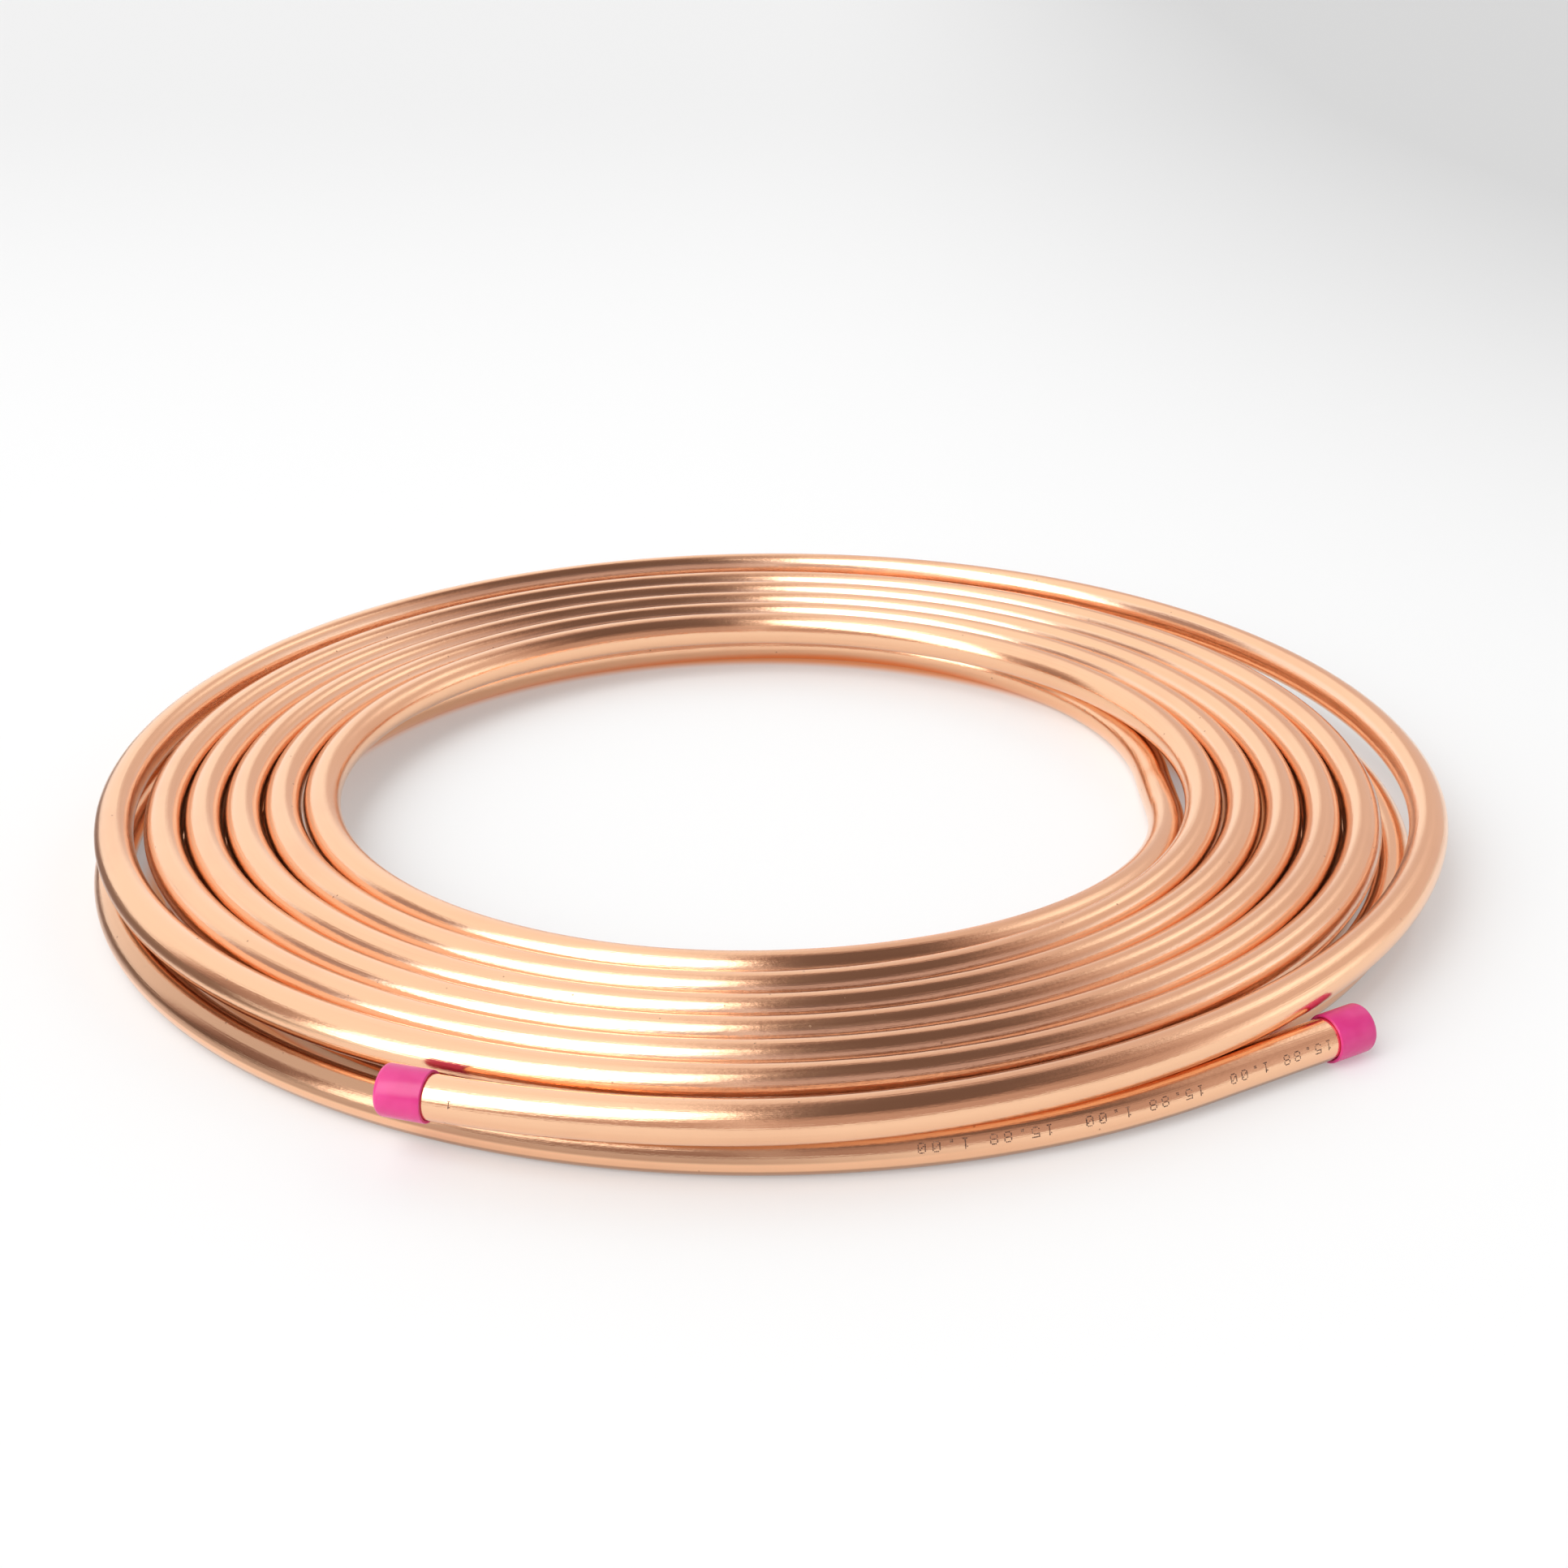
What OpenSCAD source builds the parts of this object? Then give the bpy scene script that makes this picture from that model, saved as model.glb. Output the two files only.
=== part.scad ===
// Coil of soft copper tube, wound flat in two layers, with a push-on cap over each end.
// Sizes are millimetres. Z is up, the floor is Z = 0 and the coil's axis is X = Y = 0.

/* [Tube] */
// Outside diameter of the tube
tube_od = 15.88; // [12.7:0.01:19.05]
// Thickness of the tube's wall
wall = 1; // [0.7:0.1:1.5]

/* [Layers] */
// Bend radius of the innermost quarter turn of the upper layer
eye_radius = 184.4; // [160:0.1:210]
// Clear space between neighbouring turns of the upper layer
upper_gap = 0.52; // [0.5:0.02:1.5]
// Clear space between neighbouring turns of the lower layer
lower_gap = 3; // [0.5:0.02:5]
// Clear space between the two layers
layer_gap = 0.6; // [0.3:0.1:1]
// Close quarter turns of the upper layer
upper_quarters = 20; // [12:4:24]
// Close quarter turns of the lower layer
lower_quarters = 10; // [6:4:14]
// Growth of the bend radius over the upper layer's loose outer turn, quarter by quarter
upper_slack = [9, 9, 2, 10]; // [0:0.5:16]
// Growth of the bend radius over the lower layer's loose outer turn, quarter by quarter
lower_slack = [3.9, 9.7, 3.9, 1]; // [0:0.1:16]
// Extra bend radius along the middle of the upper layer's last quarter turn
upper_flat = 20; // [0:0.8:24]
// Bend radius, about, that levels the tube out on the floor after it has left the upper layer
level_about = 160; // [150:10:300]

/* [Ends] */
// Bend radius on the way to the upper end, over that of the turn before it
upper_flare = 34; // [0:1:60]
// Straight length at the upper end
upper_straight = 20; // [20:1:60]
// How far the lower end's cap comes out past the round of the upper layer's last quarter turn
lower_reach = 7; // [6:0.5:24]
// Straight length at the lower end
lower_straight = 74; // [50:1:80]

/* [End caps] */
// Outside diameter of a cap over that of the tube
cap_extra = 2.5; // [2:0.1:3]
// Length of a cap
cap_length = 17.5; // [14:0.5:22]
// Thickness of a cap's closed end
cap_end = 1.2; // [0.8:0.1:2]
// Rounding of a cap's closed end
cap_round = 2; // [0.8:0.1:3]
// Rounding of a cap's open lip
lip_round = 0.4; // [0.2:0.1:0.5]
// Clear space between a cap and the tube
cap_fit = 0.05; // [0.02:0.01:0.1]

/* [Hidden] */
$fn = 72;
tube_r = tube_od / 2;
cap_r = tube_r + cap_extra / 2;

// Bends meet face to face, so their places are kept on grids and their odd angles are those of
// right triangles with whole sides: [run, rise] over the long side.
function grid(x, pitch) = pitch * round(x / pitch);
function snap(x) = grid(x, 0.01);
function compass(angle) = [cos(angle), sin(angle)];
function turn_of(slope) = atan2(slope[1], slope[0]);
drop_slope = [3116, 237] / 3125;
upper_slope = [24, 7] / 25;
lower_slope = [527, 336] / 625;
// On these two grids the bends of the drop close exactly
drop_grid = 0.09;
fall_grid = 0.03;

lower_z = tube_r;
drop = drop_grid * ceil((tube_od + layer_gap) / drop_grid);
upper_z = lower_z + drop;
upper_step = snap((tube_od + upper_gap) / 4);
lower_step = snap((tube_od + lower_gap) / 4);
function total(list, count) = count <= 0 ? 0 : list[count - 1] + total(list, count - 1);

// Upper layer, from its inner end at the front, clockwise and outward
upper_count = upper_quarters + len(upper_slack);
function upper_joint(i) = 270 - 90 * i;
upper_radii = [for (i = [0 : upper_count - 1])
    snap(eye_radius) + min(i, upper_quarters - 1) * upper_step + total(upper_slack, i + 1 - upper_quarters)];
function upper_centre(i) = i == 0 ? [-upper_step, upper_step] / 2
    : upper_centre(i - 1) + (upper_radii[i - 1] - upper_radii[i]) * compass(upper_joint(i));
upper_inner = upper_centre(0) - [0, upper_radii[0]];
upper_last = upper_radii[upper_count - 1];
upper_outer = upper_centre(upper_count - 1) - [0, upper_last];
upper_end_radius = upper_last + upper_flare;
// Its last quarter turn is flatter in the middle and tighter at both ends, in the ratio that closes it
middle_radius = upper_last + 8 * snap(upper_flat / 8);
tight_radius = upper_last - 17 * snap(upper_flat / 8);
middle_slope = [336, 527] / 625;

// Drop to the floor: a quarter turn and a straight in one sloping plane, then a bend that levels out
fall = grid((drop - level_about * (1 - drop_slope[0])) / drop_slope[1], fall_grid);
level_radius = snap((drop - fall * drop_slope[1]) / (1 - drop_slope[0]));
drop_radius = min(snap(eye_radius - 0.6 * upper_step), fall - 1);
landing = upper_inner + [drop_radius, snap(fall * drop_slope[0] + level_radius * drop_slope[1])];

// Lower layer, from the landing at the right, counter-clockwise and outward
lower_count = 1 + lower_quarters + len(lower_slack);
function lower_joint(i) = 90 * i;
lower_start = snap(drop_radius - 2.5 * upper_step);
lower_close = snap(landing[1] + lower_start + lower_step / 2);
lower_radii = [for (i = [0 : lower_count - 1]) i == 0 ? lower_start
    : lower_close + min(i - 1, lower_quarters - 1) * lower_step + total(lower_slack, i - lower_quarters)];
function lower_centre(i) = i == 0 ? landing - [lower_start, 0]
    : lower_centre(i - 1) + (lower_radii[i - 1] - lower_radii[i]) * compass(lower_joint(i));
lower_outer = lower_centre(lower_count - 1) - [0, lower_radii[lower_count - 1]];

// The lower end bends so that its cap's lip lies at the set distance outside the upper layer
lip_along = lower_straight + cap_fit + cap_end - cap_length;
lip_from = lower_outer + lip_along * lower_slope - upper_centre(upper_count - 1);
lip_side = [lower_slope[1], 1 - lower_slope[0]];
lip_short = pow(upper_last + lower_reach, 2) - lip_from * lip_from;
flare_radius = snap((sqrt(pow(lip_from * lip_side, 2) + lip_side * lip_side * lip_short) - lip_from * lip_side)
    / (lip_side * lip_side));

// It also rises just enough for the cap to clear the floor
lip_out = flare_radius * (1 - lower_slope[0]) + lip_along * lower_slope[1];
lower_lift = acos(grid(cos(asin((cap_r - tube_r) / lip_out)), 1e-6));

module ring() {
    difference() {
        circle(tube_r);
        circle(tube_r - wall);
    }
}

// Quarter turn of the tube about the Z axis
module bend(radius, start) {
    rotate_extrude(angle = 90, start = start)
        translate([radius, 0])
            ring();
}

// Bend from the front of the Z axis, cut off square after a turn of less than a quarter
module short_bend(radius, turn) {
    difference() {
        bend(radius, 270);
        rotate([0, 0, turn])
            translate([0, -2 * radius, -tube_od])
                cube([2 * radius, 2 * radius, 2 * tube_od]);
    }
}

// Frame at the outer end of a winding, about the axis of the bend that follows
module at_outer(outer, z, lift, radius) {
    translate([outer[0], outer[1], z])
        rotate([lift, 0, 0])
            translate([0, radius, 0])
                children();
}

module upper_layer() {
    for (i = [0 : upper_count - 2])
        translate([upper_centre(i)[0], upper_centre(i)[1], upper_z])
            bend(upper_radii[i], upper_joint(i + 1));
    at_outer(upper_outer, upper_z, 0, tight_radius) {
        short_bend(tight_radius, turn_of(upper_slope));
        rotate([0, 0, turn_of(upper_slope)])
            translate([0, middle_radius - tight_radius, 0]) {
                short_bend(middle_radius, turn_of(middle_slope));
                rotate([0, 0, turn_of(middle_slope)])
                    translate([0, tight_radius - middle_radius, 0])
                        short_bend(tight_radius, turn_of(upper_slope));
            }
    }
}

module lower_layer() {
    for (i = [0 : lower_count - 1])
        translate([lower_centre(i)[0], lower_centre(i)[1], lower_z])
            bend(lower_radii[i], lower_joint(i));
}

module layer_drop() {
    translate([upper_inner[0], upper_inner[1], upper_z])
        rotate([-turn_of(drop_slope), 0, 0])
            translate([0, drop_radius, 0]) {
                bend(drop_radius, 270);
                translate([drop_radius, 0, 0])
                    rotate([-90, 0, 0])
                        linear_extrude(fall - drop_radius)
                            ring();
            }
    translate([landing[0], landing[1], lower_z + level_radius])
        rotate([90, 0, -90])
            short_bend(level_radius, turn_of(drop_slope));
}

// Frame where that bend runs out into the straight end, with the tube along X
module at_straight(radius, slope) {
    rotate([0, 0, turn_of(slope)])
        translate([0, -radius, 0])
            rotate([0, 90, 0])
                children();
}

// The upper end points the other way round the coil, so it is drawn mirrored
module upper_end() {
    translate([2 * upper_outer[0], 0, 0])
        mirror([1, 0, 0])
            at_outer(upper_outer, upper_z, 0, upper_end_radius)
                children();
}

module lower_end() {
    at_outer(lower_outer, lower_z, lower_lift, flare_radius)
        children();
}

module tube_end(radius, slope, straight) {
    short_bend(radius, turn_of(slope));
    at_straight(radius, slope)
        linear_extrude(straight)
            ring();
}

module copper_tube() {
    color("#d9905f")
        union() {
            upper_layer();
            layer_drop();
            lower_layer();
            upper_end()
                tube_end(upper_end_radius, upper_slope, upper_straight);
            lower_end()
                tube_end(flare_radius, lower_slope, lower_straight);
        }
}

// Half section of a cap, open at Y = 0
module cap_section() {
    difference() {
        union() {
            translate([0, lip_round])
                square([cap_r, cap_length - lip_round - cap_round]);
            square([cap_r - lip_round, lip_round]);
            translate([cap_r - lip_round, lip_round])
                circle(lip_round);
            translate([0, cap_length - cap_round])
                square([cap_r - cap_round, cap_round]);
            translate([cap_r - cap_round, cap_length - cap_round])
                circle(cap_round);
        }
        translate([0, -cap_length])
            square([tube_r + cap_fit, 2 * cap_length - cap_end]);
        translate([-cap_r, -cap_length])
            square([cap_r, 3 * cap_length]);
    }
}

// Cap over a straight end, whose tube stops just short of the cap's closed end
module cap(straight) {
    translate([0, 0, straight + cap_fit + cap_end - cap_length])
        rotate_extrude()
            cap_section();
}

module upper_end_cap() {
    color("#d8409a")
        upper_end()
            at_straight(upper_end_radius, upper_slope)
                cap(upper_straight);
}

module lower_end_cap() {
    color("#d8409a")
        lower_end()
            at_straight(flare_radius, lower_slope)
                cap(lower_straight);
}

copper_tube();
upper_end_cap();
lower_end_cap();
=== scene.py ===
"""Copper tube coil: wound tube, end caps, printed sizes and studio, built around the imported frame."""
import math
import random

import bmesh
import bpy
from bpy.props import FloatProperty, FloatVectorProperty, IntProperty, PointerProperty, StringProperty
from bpy.types import Operator, Panel, PropertyGroup
from mathutils import Matrix, Vector


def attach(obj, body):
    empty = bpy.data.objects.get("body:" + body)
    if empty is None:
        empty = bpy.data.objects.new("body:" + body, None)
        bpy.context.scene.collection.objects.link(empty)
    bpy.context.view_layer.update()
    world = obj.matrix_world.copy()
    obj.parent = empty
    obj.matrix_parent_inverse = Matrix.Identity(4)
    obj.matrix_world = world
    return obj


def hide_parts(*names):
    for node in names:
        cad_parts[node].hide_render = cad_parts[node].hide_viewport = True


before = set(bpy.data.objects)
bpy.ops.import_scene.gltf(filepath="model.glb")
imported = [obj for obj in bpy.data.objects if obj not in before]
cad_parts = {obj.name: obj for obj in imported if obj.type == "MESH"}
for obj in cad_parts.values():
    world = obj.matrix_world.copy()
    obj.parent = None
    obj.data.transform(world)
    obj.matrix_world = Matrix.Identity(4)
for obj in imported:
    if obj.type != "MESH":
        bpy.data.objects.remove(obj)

bl_info = {
    "name": "Copper Tube Coil",
    "version": (1, 0, 0),
    "blender": (4, 5, 0),
    "location": "3D View > Sidebar > Coil",
    "description": "Builds a flat two-layer coil of copper tube with push-on end caps, and a small studio",
    "category": "Add Mesh",
}

MM = 0.001
QUARTER = math.pi / 2
QUARTERS = 4
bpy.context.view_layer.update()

# Turns of the odd bends, as right triangles with whole sides
DROP_TURN = math.atan2(237, 3116)
UPPER_TURN = math.atan2(7, 24)
MIDDLE_TURN = math.atan2(527, 336)
LOWER_TURN = math.atan2(336, 527)

# Dots of the printed figures, row by row
FIGURES = {
    "0": ("01110", "10001", "10011", "10101", "11001", "10001", "01110"),
    "1": ("00100", "01100", "00100", "00100", "00100", "00100", "01110"),
    "5": ("11111", "10000", "11110", "00001", "00001", "10001", "01110"),
    "8": ("01110", "10001", "10001", "01110", "10001", "10001", "01110"),
    ".": ("00000", "00000", "00000", "00000", "00000", "01100", "01100"),
}
ROWS = 7


class TubeSizes(PropertyGroup):
    """Sizes of the tube and of its winding."""

    diameter: FloatProperty(
        name="Diameter", description="Outside diameter of the tube", default=15.88 * MM, unit="LENGTH",
    )
    wall: FloatProperty(
        name="Wall", description="Thickness of the tube's wall", default=1 * MM, unit="LENGTH",
    )
    eye_radius: FloatProperty(
        name="Eye radius", description="Bend radius of the upper layer's innermost quarter turn",
        default=184.4 * MM, unit="LENGTH",
    )
    upper_gap: FloatProperty(
        name="Upper gap", description="Clear space between the upper turns",
        default=0.52 * MM, unit="LENGTH",
    )
    lower_gap: FloatProperty(
        name="Lower gap", description="Clear space between the lower turns",
        default=3 * MM, unit="LENGTH",
    )
    drop: FloatProperty(
        name="Drop", description="Height between the middles of the two layers",
        default=16.56 * MM, unit="LENGTH",
    )
    upper_quarters: IntProperty(
        name="Upper quarters", description="Close quarter turns of the upper layer", default=20, min=4,
    )
    lower_quarters: IntProperty(
        name="Lower quarters", description="Close quarter turns of the lower layer", default=10, min=2,
    )
    upper_slack: FloatVectorProperty(
        name="Upper slack", description="Growth of the upper layer's loose outer turn, quarter by quarter",
        size=4, default=(9 * MM, 9 * MM, 2 * MM, 10 * MM), unit="LENGTH",
    )
    lower_slack: FloatVectorProperty(
        name="Lower slack", description="Growth of the lower layer's loose outer turn, quarter by quarter",
        size=4, default=(3.9 * MM, 9.7 * MM, 3.9 * MM, 1 * MM), unit="LENGTH",
    )
    upper_flat: FloatProperty(
        name="Upper flat", description="Extra bend radius along the last upper quarter turn",
        default=20 * MM, unit="LENGTH",
    )
    fall: FloatProperty(
        name="Fall", description="Run of the drop in its sloping plane", default=212.28 * MM, unit="LENGTH",
    )
    upper_flare: FloatProperty(
        name="Upper flare", description="Bend radius to the upper end, over that of the turn before it",
        default=34 * MM, unit="LENGTH",
    )
    upper_straight: FloatProperty(
        name="Upper straight", description="Straight length at the upper end",
        default=20 * MM, unit="LENGTH",
    )
    lower_straight: FloatProperty(
        name="Lower straight", description="Straight length at the lower end",
        default=74 * MM, unit="LENGTH",
    )
    lower_reach: FloatProperty(
        name="Lower reach", description="How far the lower cap comes out past the last upper quarter turn",
        default=7 * MM, unit="LENGTH",
    )
    sides: IntProperty(name="Sides", description="Flats round the tube", default=36, min=12)
    step: FloatProperty(
        name="Step", description="Turn of the bends between two rings",
        default=math.radians(1.6), unit="ROTATION",
    )


class CapSizes(PropertyGroup):
    """Sizes of a push-on end cap."""

    extra: FloatProperty(
        name="Extra", description="Outside diameter over that of the tube", default=2.5 * MM, unit="LENGTH",
    )
    length: FloatProperty(name="Length", description="Length of a cap", default=17.5 * MM, unit="LENGTH")
    end: FloatProperty(
        name="End", description="Thickness of the closed end", default=1.2 * MM, unit="LENGTH",
    )
    end_round: FloatProperty(
        name="End rounding", description="Rounding of the closed end", default=2 * MM, unit="LENGTH",
    )
    lip_round: FloatProperty(
        name="Lip rounding", description="Rounding of the open lip", default=0.4 * MM, unit="LENGTH",
    )
    fit: FloatProperty(
        name="Fit", description="Clear space between cap and tube", default=0.05 * MM, unit="LENGTH",
    )
    steps: IntProperty(name="Steps", description="Flats round a cap", default=72, min=12)


class PrintSizes(PropertyGroup):
    """The dotted sizes along the lower end and the figure by the upper end."""

    text: StringProperty(
        name="Text", description="Plain numbers that are printed along the lower end",
        default="15.88 1.00  15.88 1.00  15.88 1.00",
    )
    mark: StringProperty(
        name="Mark", description="Plain figure that is printed by the upper end", default="1",
    )
    mark_scale: FloatProperty(
        name="Mark scale", description="Size of the upper end's figure over that of the others",
        default=0.7, subtype="FACTOR",
    )
    mark_far: FloatProperty(
        name="Mark distance", description="How far past the upper straight its figure ends",
        default=7 * MM, unit="LENGTH",
    )
    space: FloatProperty(
        name="Space", description="Space between the lower cap and the print",
        default=3 * MM, unit="LENGTH",
    )
    height: FloatProperty(name="Height", description="Height of a figure", default=3.9 * MM, unit="LENGTH")
    pitch: FloatProperty(
        name="Pitch", description="Distance between two figures", default=4.9 * MM, unit="LENGTH",
    )
    rise: FloatProperty(
        name="Rise", description="Angle of the print above the outer side of the tube",
        default=math.radians(21), unit="ROTATION",
    )
    dot: FloatProperty(name="Dot", description="Diameter of a dot", default=0.56 * MM, unit="LENGTH")
    ink: FloatProperty(
        name="Ink", description="Height of the ink over the copper", default=0.03 * MM, unit="LENGTH",
    )


class Finishes(PropertyGroup):
    """Colours of the coil."""

    copper: FloatVectorProperty(
        name="Copper", description="Bright drawn copper",
        size=4, subtype="COLOR", default=(0.95, 0.576, 0.36, 1),
    )
    # Painted reflection: paler copper standing in for the neighbouring turn seen in the flanks between the
    # close turns
    painted_flank_reflection: FloatVectorProperty(
        name="Crevice", description="Paler copper of the flanks between the close turns",
        size=4, subtype="COLOR", default=(0.97, 0.65, 0.46, 1),
    )
    # Painted shade: darker copper where the lower tube lies close under the upper one and where it faces the
    # floor
    shade: FloatVectorProperty(
        name="Shade", description="Dull copper of the lower tube, close under the upper one and on the floor",
        size=4, subtype="COLOR", default=(0.36, 0.19, 0.115, 1),
    )
    tarnish: FloatVectorProperty(
        name="Tarnish", description="Thin brown film on the copper",
        size=4, subtype="COLOR", default=(0.80, 0.44, 0.27, 1),
    )
    cap: FloatVectorProperty(
        name="Cap", description="Magenta plastic",
        size=4, subtype="COLOR", default=(0.66, 0.028, 0.205, 1),
    )
    cap_pale: FloatVectorProperty(
        name="Cap, pale", description="Worn magenta plastic",
        size=4, subtype="COLOR", default=(0.78, 0.065, 0.29, 1),
    )
    ink: FloatVectorProperty(
        name="Ink", description="Brown printing ink",
        size=4, subtype="COLOR", default=(0.075, 0.028, 0.014, 1),
    )


class StudioSettings(PropertyGroup):
    """Camera, light and floor."""

    eye: FloatVectorProperty(
        name="Eye", description="Place of the camera",
        size=3, subtype="TRANSLATION", default=(0.03868, -0.96667, 0.44207),
    )
    pitch: FloatProperty(
        name="Pitch", description="How far the camera looks down",
        default=math.radians(23.5465), unit="ROTATION",
    )
    yaw: FloatProperty(
        name="Yaw", description="How far the camera looks to the left",
        default=math.radians(1.489), unit="ROTATION",
    )
    roll: FloatProperty(
        name="Roll", description="How far the camera leans", default=math.radians(-0.1364), unit="ROTATION",
    )
    lens: FloatProperty(name="Lens", description="Focal length on a 36 mm frame", default=55.238)
    softbox: FloatProperty(name="Softbox", description="Light of the softbox on the left", default=2.7)
    wall: FloatProperty(name="Wall", description="Light of the white wall on the left", default=1.1)
    room: FloatProperty(name="Room", description="Light of the dim room overhead", default=0.17)
    behind: FloatProperty(
        name="Behind", description="White that the camera sees past the floor", default=0.92,
    )
    dusk: FloatVectorProperty(
        name="Dusk", description="Tint of the dim room in the metal",
        size=4, subtype="COLOR", default=(1, 0.70, 0.62, 1),
    )
    floor_size: FloatProperty(
        name="Floor size", description="Half the width of the floor", default=12.0, unit="LENGTH",
    )
    floor_glow: FloatProperty(
        name="Floor glow", description="Share of the floor's white that a shadow leaves",
        default=0.3, subtype="FACTOR",
    )
    floor: FloatVectorProperty(
        name="Floor", description="White floor",
        size=4, subtype="COLOR", default=(0.92, 0.92, 0.92, 1),
    )
    floor_far: FloatVectorProperty(
        name="Floor, far", description="White floor away from the light",
        size=4, subtype="COLOR", default=(0.62, 0.62, 0.62, 1),
    )
    floor_under: FloatVectorProperty(
        name="Floor, under", description="Floor under the coil, in the copper's own light",
        size=4, subtype="COLOR", default=(0.9, 0.45, 0.22, 1),
    )
    floor_unlit: FloatVectorProperty(
        name="Floor, unlit", description="Floor beyond the white one",
        size=4, subtype="COLOR", default=(0.22, 0.16, 0.14, 1),
    )


class Value:
    """A number that varies over a surface: arithmetic on it adds Math nodes."""

    def __init__(self, shader, socket):
        self.shader, self.socket = shader, socket

    def __add__(self, other):
        return self.shader.maths("ADD", self, other)

    def __sub__(self, other):
        return self.shader.maths("SUBTRACT", self, other)

    def __rsub__(self, other):
        return self.shader.maths("SUBTRACT", other, self)

    def __mul__(self, other):
        return self.shader.maths("MULTIPLY", self, other)

    __radd__ = __add__
    __rmul__ = __mul__

    def hill(self, middle, half):
        """Smooth hill: 1 in the middle and 0 from half its width outward."""
        return self.shader.maths("ABSOLUTE", self - middle).ramp(half, 0)

    def ramp(self, low, high):
        """Smooth step from 0 at low to 1 at high."""
        settings = {"interpolation_type": "SMOOTHSTEP"}
        return self.shader.add("ShaderNodeMapRange", settings, {0: self.socket, 1: low, 2: high})


class Shader:
    """A node tree that is filled node by node."""

    def __init__(self, tree):
        self.tree = tree
        tree.nodes.clear()

    def add(self, kind, settings=None, sockets=None, out=0):
        """Adds a node, sets its settings, then its sockets by values or links, and returns one output."""
        node = self.tree.nodes.new(kind)
        for name, value in (settings or {}).items():
            setattr(node, name, value)
        for name, value in (sockets or {}).items():
            value = value.socket if isinstance(value, Value) else value
            if isinstance(value, bpy.types.NodeSocket):
                self.tree.links.new(value, node.inputs[name])
            else:
                node.inputs[name].default_value = value
        return Value(self, node.outputs[out]) if len(node.outputs) else node

    def maths(self, operation, *terms):
        """Adds a Math node."""
        return self.add("ShaderNodeMath", {"operation": operation}, dict(enumerate(terms)))

    def axes(self, place):
        """Splits a place into its three numbers."""
        return [self.add("ShaderNodeSeparateXYZ", {}, {0: place}, out=i) for i in range(3)]

    def blend(self, factor, first, second):
        """Mixes two colours."""
        return self.add("ShaderNodeMix", {"data_type": "RGBA"}, {0: factor, 6: first, 7: second}, out=2)

    def noise(self, place, scale, detail, rough, stretch=(1, 1, 1)):
        """Noise on a place that is first stretched along its axes."""
        moved = self.add("ShaderNodeVectorMath", {"operation": "MULTIPLY"}, {0: place, 1: stretch})
        sockets = {"Vector": moved, "Scale": scale, "Detail": detail, "Roughness": rough}
        return self.add("ShaderNodeTexNoise", {}, sockets)

    def bump(self, strength, distance, height, normal=None):
        """Adds a Bump node, over another one's normal if there is one."""
        sockets = {"Strength": strength, "Distance": distance, "Height": height}
        return self.add("ShaderNodeBump", {}, sockets if normal is None else {**sockets, "Normal": normal})

    def surface(self, **sockets):
        """Ends the tree with a Principled shader, whose sockets are named with underscores for spaces."""
        named = {name.replace("_", " "): value for name, value in sockets.items()}
        shader = self.add("ShaderNodeBsdfPrincipled", {}, named)
        self.add("ShaderNodeOutputMaterial", {}, {"Surface": shader})


def new_material(name):
    material = bpy.data.materials.new(name)
    material.use_nodes = True
    return material, Shader(material.node_tree)


def between_turns(far, out, route):
    """Mask of the flanks that face a close upper turn: not the outermost flank, nor the eye's."""
    outward = out.ramp(-0.5 * MM, 0.5 * MM)
    blur = 40 * MM
    outer = far.ramp(route.close_from - blur, route.close_from + blur)
    outer *= far.ramp(route.drop_from + blur, route.drop_from - blur)
    inner = far.ramp(30 * MM, 120 * MM) * far.ramp(route.inner_from + blur, route.inner_from - blur)
    return outward * outer + (1 - outward) * inner


def close_under(far, height, route):
    """Mask of the painted shade on the loose lower turn: close under the upper one at the front, and down on
    the floor.
    """
    front = far.ramp(route.flare_from - 416 * MM, route.flare_from - 166 * MM)
    front *= far.ramp(route.flare_from + 104 * MM, route.flare_from - 16 * MM)
    floor = far.ramp(route.loose_from + 89 * MM, route.loose_from + 289 * MM)
    return front * height.ramp(0, 0.14) + floor * height.ramp(-0.3, -0.46)


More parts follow.
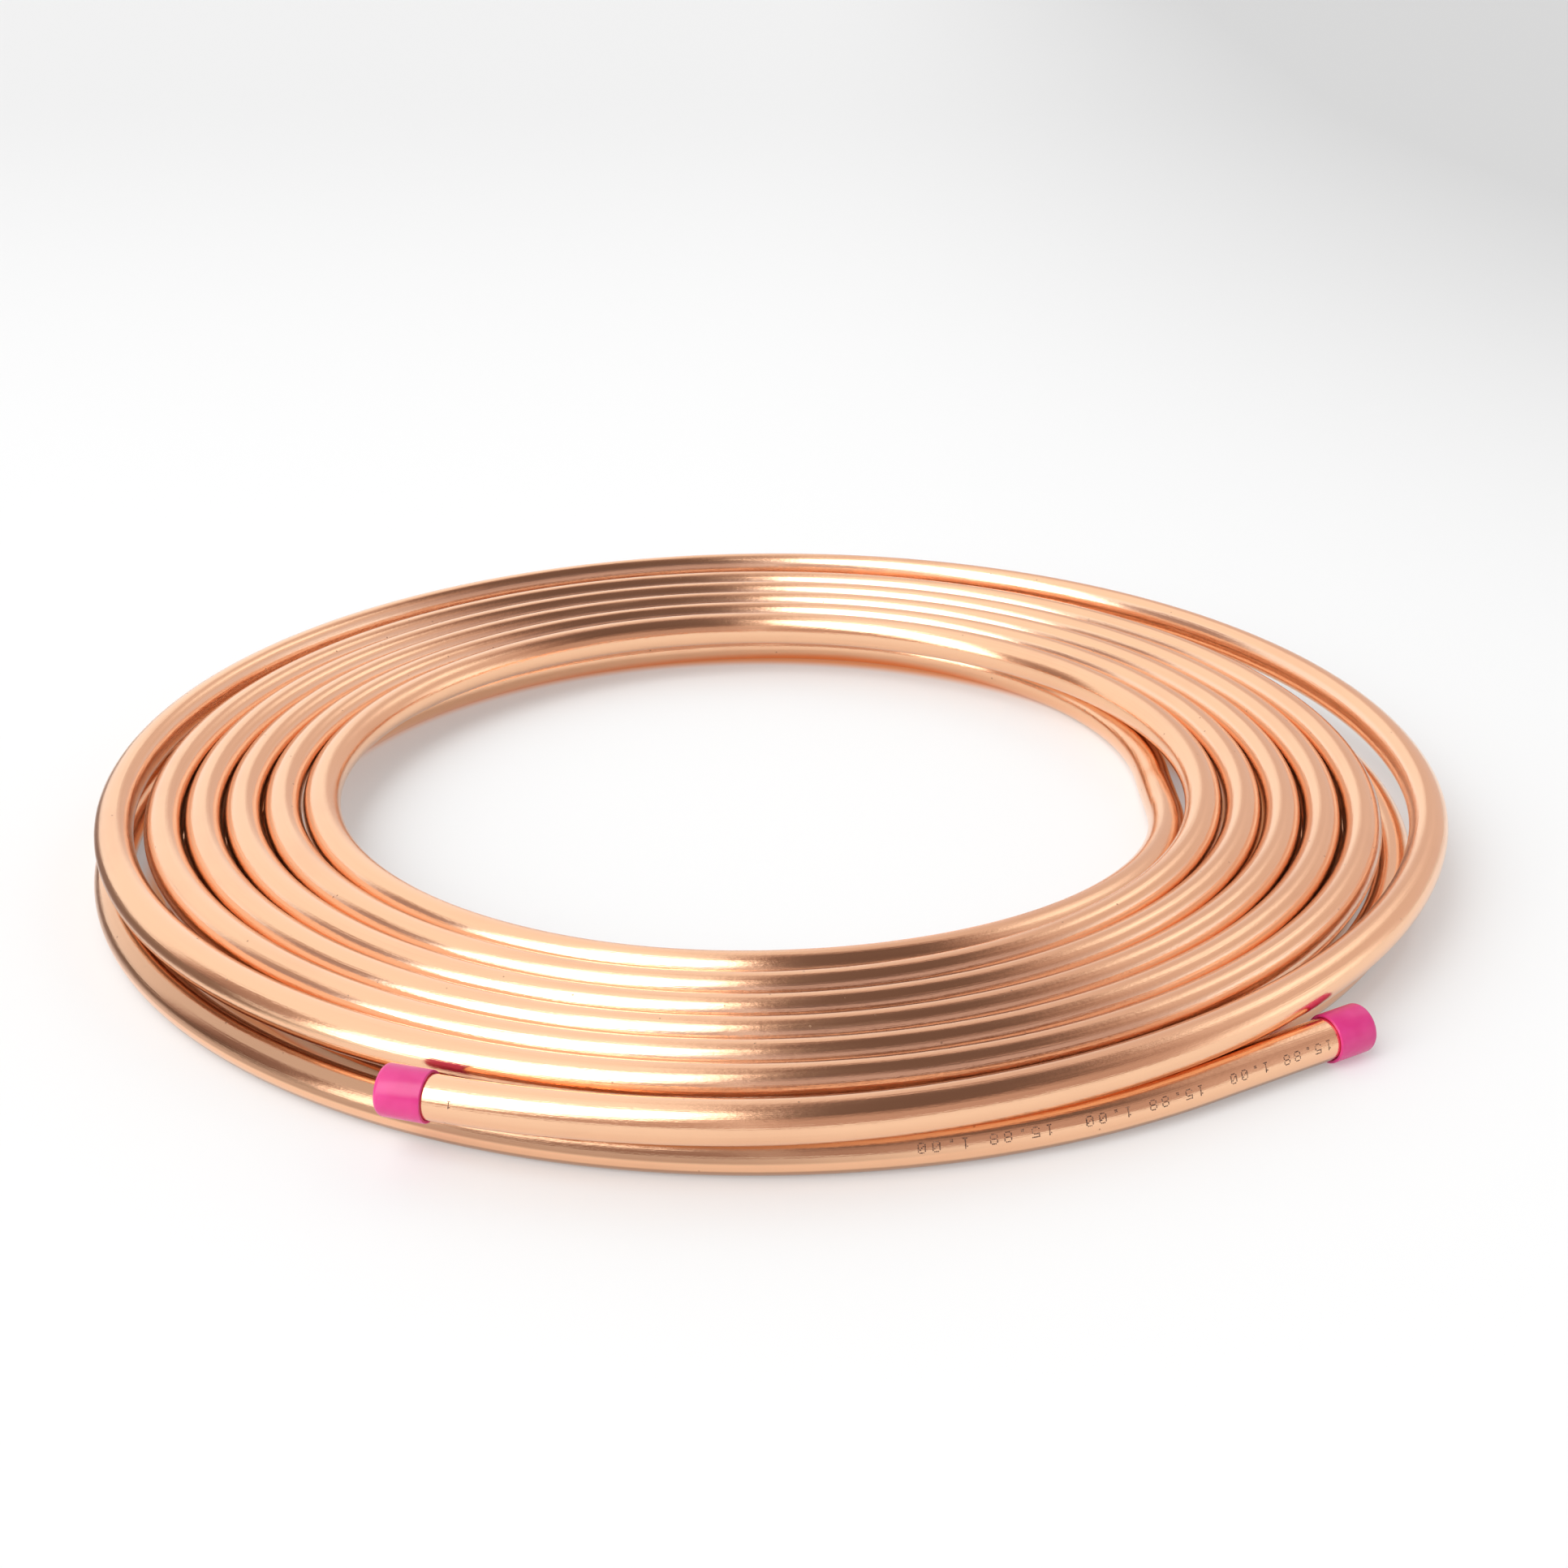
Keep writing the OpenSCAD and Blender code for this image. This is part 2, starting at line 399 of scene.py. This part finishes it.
def copper_finish(finishes, tube, route):
    """Bright drawn copper: lines along the tube, a thin patchy film, fine grain and specks, with a painted
    reflection between the close turns and painted shade on the lower tube.
    """
    material, s = new_material("drawn_copper")
    run = s.add("ShaderNodeAttribute", {"attribute_name": "run"}, out=1)
    film = s.noise(run, 22, 4, 0.6, (0.55, 1, 1)).ramp(0.45, 0.8)
    lines = s.noise(run, 900, 3, 0.6, (0.010, 1, 1))
    fine = s.noise(run, 2600, 2, 0.5, (0.006, 1, 1))
    grain = s.noise(run, 1500, 2, 0.6, (0.30, 1, 1))
    dents = s.noise(run, 60, 2, 0.5, (0.4, 1, 1))
    rub = s.noise(run, 260, 3, 0.6, (0.05, 1, 1)).ramp(0.55, 0.8)
    cells = {"Vector": run, "Scale": 95.0, "Randomness": 1.0}
    speck = s.add("ShaderNodeTexVoronoi", {"feature": "F1"}, cells).ramp(0.05, 0.03)
    far, up, out = s.axes(run)
    flank = s.maths("DIVIDE", out * out, up * up + out * out)
    between = between_turns(far, out, route)
    close = close_under(far, up * (2 / tube.diameter), route)
    colour = s.blend(film * 0.35 + rub * 0.12 + (lines - 0.5) * 0.3, finishes.copper, finishes.tarnish)
    # Painted reflection: the flanks between the close turns are painted paler, as where they mirror the
    # neighbouring turn
    colour = s.blend(between * flank.ramp(0.34, 0.56), colour, finishes.painted_flank_reflection)
    # Painted shade on the lower tube, under the upper turn and on its side down by the floor
    colour = s.blend(close * 0.7, colour, finishes.shade)
    colour = s.blend(speck * 0.5, colour, finishes.ink)
    rough = 0.155 + film * 0.06 + rub * 0.10 + (lines - 0.5) * 0.12 + speck * 0.2
    normal = s.bump(0.16, 0.6 * MM, lines * 0.6 + fine * 0.35 + grain * 0.4)
    normal = s.bump(0.10, 3 * MM, dents, normal)
    # Between the turns the flanks are shaded a little steeper than they are
    normal = s.bump(1.0, 1.4 * MM, between * flank * -1, normal)
    s.surface(Base_Color=colour, Metallic=1.0, Roughness=rough, Normal=normal)
    return material


def cap_finish(finishes):
    """Soft magenta plastic, mottled and a little scuffed."""
    material, s = new_material("cap_plastic")
    place = s.add("ShaderNodeTexCoord", out=3)
    cloud = s.noise(place, 90, 2, 0.5)
    scuff = s.noise(place, 700, 3, 0.6)
    colour = s.blend(cloud.ramp(0.3, 0.75) * 0.5, finishes.cap, finishes.cap_pale)
    rough = 0.24 + (cloud - 0.5) * 0.10 + (scuff - 0.5) * 0.08
    normal = s.bump(0.05, 0.8 * MM, cloud * 0.8 + scuff * 0.3)
    s.surface(
        Base_Color=colour, Roughness=rough, Normal=normal,
        Subsurface_Weight=0.12, Subsurface_Scale=2 * MM, IOR=1.48,
    )
    return material


def ink_finish(finishes):
    """Brown ink that has dried unevenly."""
    material, s = new_material("printing_ink")
    worn = s.noise(s.add("ShaderNodeTexCoord", out=3), 900, 2, 0.6)
    colour = s.blend(worn.ramp(0.4, 0.75) * 0.5, finishes.ink, finishes.tarnish)
    s.surface(Base_Color=colour, Roughness=0.45 + (worn - 0.5) * 0.2)
    return material


def floor_finish(studio):
    """White floor that greys away from the light."""
    material, s = new_material("white_sweep")
    x, y, _z = s.axes(s.add("ShaderNodeTexCoord", out=3))
    away = y.ramp(0.1, 2.4) * 0.4 + x.ramp(-0.1, 1.1) * y.ramp(-0.7, 1.3) * 0.85
    colour = s.blend(away, studio.floor, studio.floor_far)
    reach = s.maths("SQRT", x * x + y * y)
    under = reach.ramp(0.2, 0.21) * reach.ramp(0.265, 0.255)
    colour = s.blend(under, colour, studio.floor_under)
    # Out of the picture on the left the metal sees the unlit floor beyond the white one
    glossy = s.add("ShaderNodeLightPath", out=3)
    unlit = glossy * (x + y * 0.36).ramp(-0.295, -0.33) * y.ramp(-0.34, -0.2)
    colour = s.blend(unlit, colour, studio.floor_unlit)
    s.surface(
        Base_Color=s.blend(studio.floor_glow, colour, (0, 0, 0, 1)), Roughness=0.9, Specular_IOR_Level=0.1,
        Emission_Color=colour, Emission_Strength=studio.floor_glow,
    )
    return material


def compass(angle):
    """Level direction at a multiple of a quarter turn."""
    return Vector((round(math.cos(angle)), round(math.sin(angle)), 0))


def quarter_radii(quarters, first, step, slack):
    """Bend radii of a layer's quarter turns: each grows by a step, then by the loose turn's slack."""
    return [
        first + min(i, quarters - 1) * step + sum(list(slack)[:max(0, i + 1 - quarters)])
        for i in range(quarters + len(slack))
    ]


class Route:
    """The tube's centre line: straights and bends from the upper end to the lower end."""

    def __init__(self, tube, caps):
        step = (tube.diameter + tube.upper_gap) / QUARTERS
        upper = quarter_radii(tube.upper_quarters, tube.eye_radius, step, tube.upper_slack)
        centre = Vector((-step, step, 0)) / 2
        inner = centre - Vector((0, upper[0], 0))
        for i in range(1, len(upper)):
            centre += (upper[i - 1] - upper[i]) * compass(math.radians(270 - 90 * i))
        last = upper.pop()
        outer = centre - Vector((0, last, 0))

        # The drop bends a little tighter than the eye, and the lower layer starts tighter still
        level = (tube.drop - tube.fall * math.sin(DROP_TURN)) / (1 - math.cos(DROP_TURN))
        drop_radius = tube.eye_radius - 0.6 * step
        ahead = tube.fall * math.cos(DROP_TURN) + level * math.sin(DROP_TURN)
        landing = inner + Vector((drop_radius, ahead, 0))

        lower_step = (tube.diameter + tube.lower_gap) / QUARTERS
        start = drop_radius - 2.5 * step
        close = landing.y + start + lower_step / 2
        lower = [start] + quarter_radii(tube.lower_quarters, close, lower_step, tube.lower_slack)
        lower_centre = landing - Vector((start, 0, 0))
        for i in range(1, len(lower)):
            lower_centre += (lower[i - 1] - lower[i]) * compass(i * QUARTER)
        flare, lift = self.flare(tube, caps, lower_centre - Vector((0, lower[-1], 0)) - centre, last)

        # The last upper quarter turn is flatter in the middle, and its ends are tighter, so that it closes
        ease = tube.upper_flat / 8
        tight = ("bend", last - 17 * ease, UPPER_TURN)
        upper_turns = [("bend", radius, QUARTER) for radius in reversed(upper)]
        lower_turns = [("bend", radius, QUARTER) for radius in lower]
        self.parts = [("straight", tube.upper_straight), ("bend", last + tube.upper_flare, UPPER_TURN)]
        self.parts += [tight, ("bend", last + 8 * ease, MIDDLE_TURN), tight]
        self.parts += upper_turns[:-tube.upper_quarters]
        self.close_from = self.length()
        self.parts += upper_turns[-tube.upper_quarters:-QUARTERS]
        self.inner_from = self.length()
        self.parts += upper_turns[-QUARTERS:]
        self.drop_from = self.length()
        self.parts += [("roll", -DROP_TURN), ("bend", drop_radius, QUARTER)]
        self.parts += [("straight", tube.fall - drop_radius), ("pitch", level, DROP_TURN)]
        self.parts += lower_turns[:-QUARTERS]
        self.loose_from = self.length()
        self.parts += lower_turns[-QUARTERS:]
        self.flare_from = self.length()
        self.parts += [("roll", lift), ("bend", flare, LOWER_TURN), ("straight", tube.lower_straight)]

        outer.z = tube.diameter / 2 + tube.drop
        hub = outer + Vector((0, last + tube.upper_flare, 0))
        back = Matrix.Rotation(-UPPER_TURN, 3, "Z")
        self.heading = back @ Vector((1, 0, 0))
        self.start = hub + back @ (outer - hub) - tube.upper_straight * self.heading

    @staticmethod
    def flare(tube, caps, lower_outer, last):
        """Radius of the lower end's bend that brings its cap's lip out to its reach, and the bend's lift."""
        cap_lip = tube.lower_straight + caps.fit + caps.end - caps.length
        slope = Vector((math.cos(LOWER_TURN), math.sin(LOWER_TURN)))
        side = Vector((slope.y, 1 - slope.x))
        lip_from = lower_outer.xy + cap_lip * slope
        lip_short = (last + tube.lower_reach) ** 2 - lip_from.length_squared
        near = lip_from.dot(side)
        radius = (math.sqrt(near ** 2 + side.length_squared * lip_short) - near) / side.length_squared
        return radius, math.asin(caps.extra / 2 / (radius * side.y + cap_lip * slope.y))

    def length(self):
        """Length of the parts so far."""
        return sum(size * turn[0] if turn else size for kind, size, *turn in self.parts if kind != "roll")

    def walk(self):
        """Yields each part with the frame it starts from.

        First its place, heading and up and the tube's own seam, then its kind, radius or length, and turn.
        """
        place, heading, up = self.start.copy(), self.heading.copy(), Vector((0, 0, 1))
        seam = up.copy()
        for kind, size, *turn in self.parts:
            yield place.copy(), heading.copy(), up.copy(), seam.copy(), kind, size, turn[0] if turn else 0.0
            if kind == "straight":
                place += size * heading
            elif kind == "roll":
                up = Matrix.Rotation(size, 3, heading) @ up
            else:
                hub, axis = bend_about(place, heading, up, kind, size)
                spun = Matrix.Rotation(turn[0], 3, axis)
                place = hub + spun @ (place - hub)
                heading, up, seam = spun @ heading, spun @ up, spun @ seam

    def ends(self):
        """Place and inward direction of both ends."""
        *_, (place, heading, _up, _seam, _kind, size, _turn) = self.walk()
        return (self.start, self.heading), (place + size * heading, -heading)


def bend_about(place, heading, up, kind, radius):
    """Hub and axis of a bend to the left, or upward."""
    left = up.cross(heading)
    return (place + radius * left, up) if kind == "bend" else (place + radius * up, -left)


def frame_at(place, heading, up):
    """Matrix with Z along the heading and X up."""
    side = heading.cross(up)
    return Matrix.Translation(place) @ Matrix((up, side, heading)).transposed().to_4x4()


def finish_mesh(name, bm, material, smooth=True):
    """Turns a bmesh into a finished object at the origin."""
    bmesh.ops.recalc_face_normals(bm, faces=bm.faces)
    mesh = bpy.data.meshes.new(name)
    bm.to_mesh(mesh)
    bm.free()
    mesh.materials.append(material)
    mesh.polygons.foreach_set("use_smooth", [smooth] * len(mesh.polygons))
    piece = bpy.data.objects.new(name, mesh)
    bpy.context.collection.objects.link(piece)
    return piece


def only_verts(found):
    return [g for g in found if isinstance(g, bmesh.types.BMVert)]


def edges_among(found, verts):
    """Edges in an operator's result that lie between these vertices."""
    ends = set(verts)
    return [g for g in found if isinstance(g, bmesh.types.BMEdge) and ends.issuperset(g.verts)]


class COIL_OT_tube(Operator):
    """Winds the copper tube: a ring is spun through each bend and drawn along each straight"""

    bl_idname = "coil.tube"
    bl_label = "Copper Tube"

    def execute(self, context):
        tube, finishes = context.scene.coil_tube, context.scene.coil_finishes
        route = Route(tube, context.scene.coil_caps)
        whole = bmesh.new()
        whole.verts.layers.float_vector.new("run")
        length = bpy.data.meshes.new("length")
        along = 0.0
        for place, heading, up, seam, kind, size, turn in route.walk():
            if kind == "roll":
                continue
            about = bend_about(place, heading, up, kind, size)
            bm = self.wind(tube, frame_at(place, heading, seam), about, size, turn, along)
            bm.to_mesh(length)
            bm.free()
            whole.from_mesh(length)
            along += size * turn if turn else size
        bmesh.ops.remove_doubles(whole, verts=whole.verts, dist=0.02 * MM)
        bpy.data.meshes.remove(length)
        for place, inward in route.ends():
            self.bore(whole, place, inward, 1 - 2 * tube.wall / tube.diameter, 2 * tube.diameter)
        piece = finish_mesh("tube_winding", whole, copper_finish(finishes, tube, route))
        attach(piece, "root")
        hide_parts("copper_tube")
        return {"FINISHED"}

    @staticmethod
    def wind(tube, start, about, size, turn, along):
        """One bend or straight. Each vertex keeps its run: how far along the tube, how far up and out."""
        hub, axis = about
        bm = bmesh.new()
        run = bm.verts.layers.float_vector.new("run")
        bmesh.ops.create_circle(bm, segments=tube.sides, radius=tube.diameter / 2, matrix=start)
        ring, turned = bm.verts[:], start.inverted()
        for vert in ring:
            vert[run] = (along, *(turned @ vert.co).xy)
        if not turn:
            grown = only_verts(bmesh.ops.extrude_edge_only(bm, edges=bm.edges[:])["geom"])
            bmesh.ops.translate(bm, verts=grown, vec=start.to_3x3() @ Vector((0, 0, size)))
            for vert in grown:
                vert[run] = (along + size, *vert[run].yz)
            return bm
        steps = max(2, math.ceil(turn / tube.step))
        bmesh.ops.spin(bm, geom=ring + bm.edges[:], cent=hub, axis=axis, angle=turn, steps=steps)
        spoke = start.translation - hub
        for vert in bm.verts:
            arm = vert.co - hub
            angle = math.atan2(axis.dot(spoke.cross(arm)), spoke.dot(arm))
            vert[run] = (along + size * angle, *vert[run].yz)
        return bm

    @staticmethod
    def bore(bm, place, inward, shrink, depth):
        """Square-cut end with its bore."""
        ring = [e for e in bm.edges if e.is_boundary and (e.verts[0].co - place).length < depth]
        grown = bmesh.ops.extrude_edge_only(bm, edges=ring)["geom"]
        rim = only_verts(grown)
        bmesh.ops.scale(bm, vec=(shrink,) * 3, space=Matrix.Translation(-place), verts=rim)
        inner = edges_among(grown, rim)
        for edge in ring + inner:
            edge.smooth = False
        grown = bmesh.ops.extrude_edge_only(bm, edges=inner)["geom"]
        rim = only_verts(grown)
        bmesh.ops.translate(bm, verts=rim, vec=depth * inward)
        bmesh.ops.contextual_create(bm, geom=edges_among(grown, rim))


class COIL_OT_caps(Operator):
    """Turns the two push-on caps and pushes them over the tube's ends"""

    bl_idname = "coil.caps"
    bl_label = "End Caps"

    def execute(self, context):
        tube, caps = context.scene.coil_tube, context.scene.coil_caps
        material = cap_finish(context.scene.coil_finishes)
        names = (("upper_cap", "upper_end_cap"), ("lower_cap", "lower_end_cap"))
        for (name, node), (place, inward) in zip(names, Route(tube, caps).ends()):
            up = inward.cross((0, 0, 1)).cross(inward).normalized()
            tip = frame_at(place - (caps.fit + caps.end) * inward, -inward, up)
            piece = finish_mesh(name, self.turn(tube.diameter / 2, caps, tip), material)
            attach(piece, "root")
            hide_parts(node)
        return {"FINISHED"}

    @staticmethod
    def turn(tube_radius, caps, place):
        """Half section spun about the cap's axis, closed end at Z = 0, then bevelled."""
        outer, inner = tube_radius + caps.extra / 2, tube_radius + caps.fit
        lip = -caps.length
        bm = bmesh.new()
        corners = [(0, 0), (outer, 0), (outer, lip), (inner, lip), (inner, -caps.end), (0, -caps.end)]
        verts = [bm.verts.new((x, 0, z)) for x, z in corners]
        edges = [bm.edges.new(pair) for pair in zip(verts, verts[1:])]
        bmesh.ops.spin(
            bm, geom=verts + edges, cent=(0, 0, 0), axis=(0, 0, 1),
            angle=2 * math.pi, steps=caps.steps, use_merge=True,
        )
        bmesh.ops.remove_doubles(bm, verts=bm.verts, dist=0.001 * MM)
        bmesh.ops.recalc_face_normals(bm, faces=bm.faces)

        def ring(radius, height):
            spot = Vector((radius, height))
            near = {v for v in bm.verts if (Vector((v.co.xy.length, v.co.z)) - spot).length < 0.001 * MM}
            return [e for e in bm.edges if near.issuperset(e.verts)]

        roundings = (
            (ring(outer, 0), caps.end_round, 8),
            (ring(outer, lip) + ring(inner, lip), caps.lip_round, 4),
        )
        for edges, size, segments in roundings:
            bmesh.ops.bevel(
                bm, geom=edges, offset=size, offset_type="OFFSET", affect="EDGES",
                segments=segments, profile=0.5, material=-1,
            )
        bmesh.ops.transform(bm, matrix=place, verts=bm.verts)
        return bm


class COIL_OT_print(Operator):
    """Prints the tube's plain size in dots along its lower end, and a figure by its upper end"""

    bl_idname = "coil.print"
    bl_label = "Printed Sizes"

    def execute(self, context):
        tube, caps, words = context.scene.coil_tube, context.scene.coil_caps, context.scene.coil_print
        stretches = list(Route(tube, caps).walk())
        bm, jitter = bmesh.new(), random.Random(7)
        upper, lower = stretches[1], stretches[-2]
        *_, radius, turn = lower
        far = radius * turn + tube.lower_straight - caps.length - words.space
        self.line(bm, jitter, tube, words, words.text, 1.0, lower, far)
        self.line(bm, jitter, tube, words, words.mark, words.mark_scale, upper, words.mark_far)
        piece = finish_mesh("size_print", bm, ink_finish(context.scene.coil_finishes), False)
        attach(piece, "root")
        return {"FINISHED"}

    @staticmethod
    def dots(words, text, cell):
        """Yields how far back each dot of a text lies, and how far above the middle of its line."""
        for i, figure in enumerate(text):
            for row, columns in enumerate(FIGURES.get(figure, ())):
                for column, dot in enumerate(columns):
                    if dot == "1":
                        yield i * words.pitch + column * cell * 1.05, (row - ROWS // 2) * cell

    @classmethod
    def line(cls, bm, jitter, tube, words, text, scale, stretch, far):
        """Dots on the outer side of a bend and of the straight after it, written back from far along it."""
        place, heading, up, _seam, _kind, radius, turn = stretch
        hub, axis = bend_about(place, heading, up, "bend", radius)
        spoke = (place - hub).normalized()
        tube_radius = tube.diameter / 2
        for back, above in cls.dots(words, text, words.height * scale / ROWS):
            along = far - back
            out = Matrix.Rotation(min(along / radius, turn), 3, axis) @ spoke
            onward = axis.cross(out)
            lift = words.rise + above / tube_radius
            normal = math.cos(lift) * out + math.sin(lift) * axis
            centre = hub + radius * out + max(0, along - radius * turn) * onward
            spot = frame_at(centre + (tube_radius + words.ink) * normal, normal, onward)
            size = words.dot * scale * jitter.uniform(0.8, 1.05) / 2
            bmesh.ops.create_circle(bm, cap_ends=True, segments=8, radius=size, matrix=spot)


class COIL_OT_studio(Operator):
    """Sets up the white floor, the studio's light and the camera"""

    bl_idname = "coil.studio"
    bl_label = "Studio"

    def execute(self, context):
        scene, studio = context.scene, context.scene.coil_studio
        scene.view_settings.view_transform = "Standard"
        bm = bmesh.new()
        bmesh.ops.create_grid(bm, x_segments=1, y_segments=1, size=studio.floor_size)
        finish_mesh("white_floor", bm, floor_finish(studio))
        scene.world = self.light(studio)
        scene.camera = self.camera(studio)
        context.collection.objects.link(scene.camera)
        return {"FINISHED"}

    @staticmethod
    def camera(studio):
        camera = bpy.data.objects.new("camera", bpy.data.cameras.new("camera"))
        camera.data.lens, camera.data.sensor_width = studio.lens, 36
        camera.data.clip_start, camera.data.clip_end = 0.05, 50
        aim = Matrix.Rotation(studio.yaw, 4, "Z") @ Matrix.Rotation(QUARTER - studio.pitch, 4, "X")
        aim = aim @ Matrix.Rotation(studio.roll, 4, "Z")
        camera.matrix_world = Matrix.Translation(studio.eye) @ aim
        return camera

    @staticmethod
    def light(studio):
        """Light by direction: turn from the far side to the right, and rise over the floor, in degrees."""
        world = bpy.data.worlds.new("studio_light")
        world.use_nodes = True
        s = Shader(world.node_tree)
        x, y, z = s.axes(s.add("ShaderNodeTexCoord", out=0))
        turn = s.maths("DEGREES", s.maths("ARCTAN2", x, y))
        rise = s.maths("DEGREES", s.maths("ARCSINE", z))

        # Softbox at the front left, with a lower edge that climbs toward the front
        softbox = turn.ramp(-181, -167) * turn.ramp(-107, -117) * rise.ramp(84, 68)
        softbox *= (rise + (turn + 127) * 0.85).ramp(-6, 12)

        # White wall on the left, brighter high up, with a dark post and darker patches toward the front
        post = turn.ramp(-113, -104) * turn.ramp(-70, -86) * rise.ramp(38, 27) * 0.63
        post += turn.hill(-85, 35) * rise.ramp(14, -2) * 0.2
        wall = 1 + rise.ramp(60, 72) * rise.ramp(86, 76) * 0.15 - post
        wall -= turn.ramp(-118, -136) * rise.ramp(38, 18) * 0.5
        wall -= turn.ramp(-152, -170) * rise.hill(40, 22) * 0.4

        # Dim room on the right, with a backdrop, a pale front, one lamp and a glow along the floor
        backdrop = turn.ramp(115, 80) * rise.ramp(64, 46) * 0.6
        front = turn.ramp(80, 115) * rise.ramp(48, 28) * 0.38
        lamp = turn.hill(45, 30) * (rise - 44 - (turn - 45) * 0.4).hill(0, 16) * 0.8
        glow = turn.hill(88, 30) * rise.hill(2, 26) * 0.9

        left = (x + s.maths("MINIMUM", y, 0) * 0.07).ramp(0.09, -0.13)
        level = left * wall * studio.wall + (1 - left) * (studio.room + backdrop + front)
        level += lamp + glow + softbox * studio.softbox
        camera, glossy = [s.add("ShaderNodeLightPath", out=i) for i in (0, 3)]
        colour = s.blend(glossy * level.ramp(1.2, 0.3), (1, 1, 1, 1), studio.dusk)
        strength = camera * studio.behind + (1 - camera) * level
        lit = s.add("ShaderNodeBackground", {}, {"Color": colour, "Strength": strength})
        s.add("ShaderNodeOutputWorld", {}, {"Surface": lit})
        return world


class COIL_PT_panel(Panel):
    """Lists the coil's pieces and sizes"""

    bl_idname = "COIL_PT_panel"
    bl_label = "Copper Tube Coil"
    bl_space_type = "VIEW_3D"
    bl_region_type = "UI"
    bl_category = "Coil"

    def draw(self, context):
        for operator in OPERATORS:
            self.layout.operator(operator.bl_idname)
        for name, group in GROUPS.items():
            box = self.layout.box()
            for prop in group.__annotations__:
                box.prop(getattr(context.scene, name), prop)


GROUPS = {
    "coil_tube": TubeSizes,
    "coil_caps": CapSizes,
    "coil_print": PrintSizes,
    "coil_finishes": Finishes,
    "coil_studio": StudioSettings,
}
OPERATORS = (COIL_OT_tube, COIL_OT_caps, COIL_OT_print, COIL_OT_studio)


def register():
    for group in (*GROUPS.values(), *OPERATORS, COIL_PT_panel):
        bpy.utils.register_class(group)
    for name, group in GROUPS.items():
        setattr(bpy.types.Scene, name, PointerProperty(type=group))


def unregister():
    for name in GROUPS:
        delattr(bpy.types.Scene, name)
    for group in reversed((*GROUPS.values(), *OPERATORS, COIL_PT_panel)):
        bpy.utils.unregister_class(group)


def main():
    register()
    bpy.ops.coil.tube()
    bpy.ops.coil.caps()
    bpy.ops.coil.print()
    bpy.ops.coil.studio()


if __name__ == "__main__":
    main()
